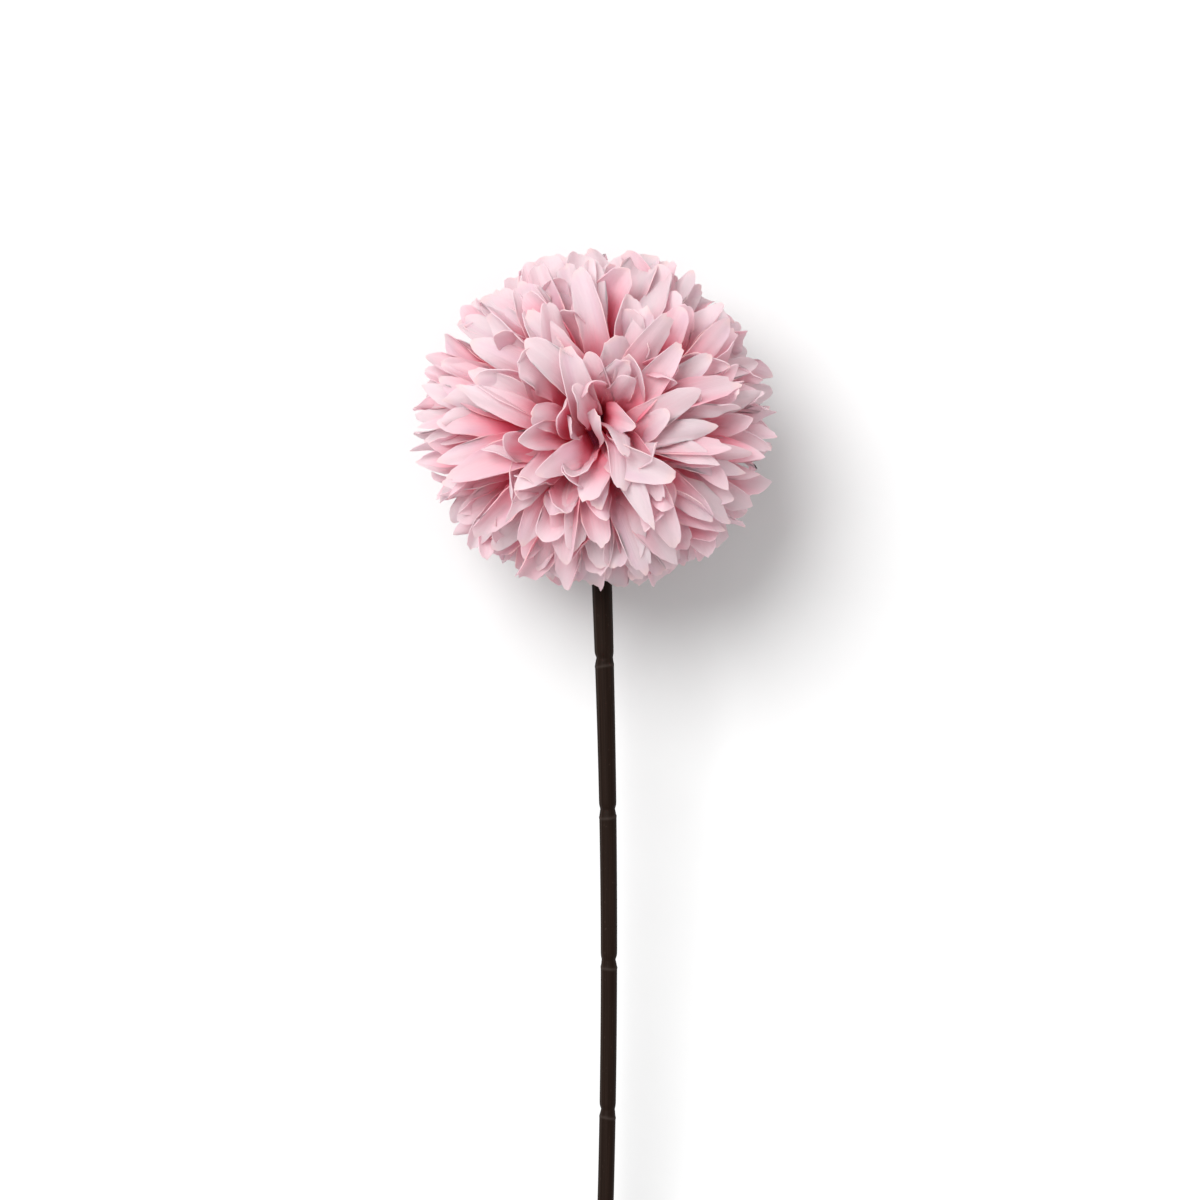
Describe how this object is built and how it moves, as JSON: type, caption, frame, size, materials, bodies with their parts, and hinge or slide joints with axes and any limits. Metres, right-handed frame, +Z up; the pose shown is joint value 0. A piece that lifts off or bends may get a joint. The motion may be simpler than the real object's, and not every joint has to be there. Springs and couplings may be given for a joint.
{
  "type": "artificial pompon chrysanthemum",
  "caption": "Artificial pompon chrysanthemum: a round ball of fabric petals on a long cut stem of ringed plastic over wire, lying on its side.",
  "frame": {"origin": "on the surface that the stem and the ball lie on, at the middle of the part's box", "axes": "+Y from the cut end of the stem to the crown of the ball, +Z up from the surface, +X to the right when seen from above with the ball at the top"},
  "size_m": [0.0917, 0.5, 0.0849],
  "materials": {
    "petal fabric": "soft, matte and slightly see-through",
    "moulded plastic": "matte dark brown",
    "brown plastic": "matte dark brown",
    "steel wire": "bare cut wire"
  },
  "bodies": {
    "root": {"bloom": "petal fabric", "calyx": "moulded plastic", "stem": "brown plastic", "stem_wire": "steel wire"}
  },
  "joints": []
}
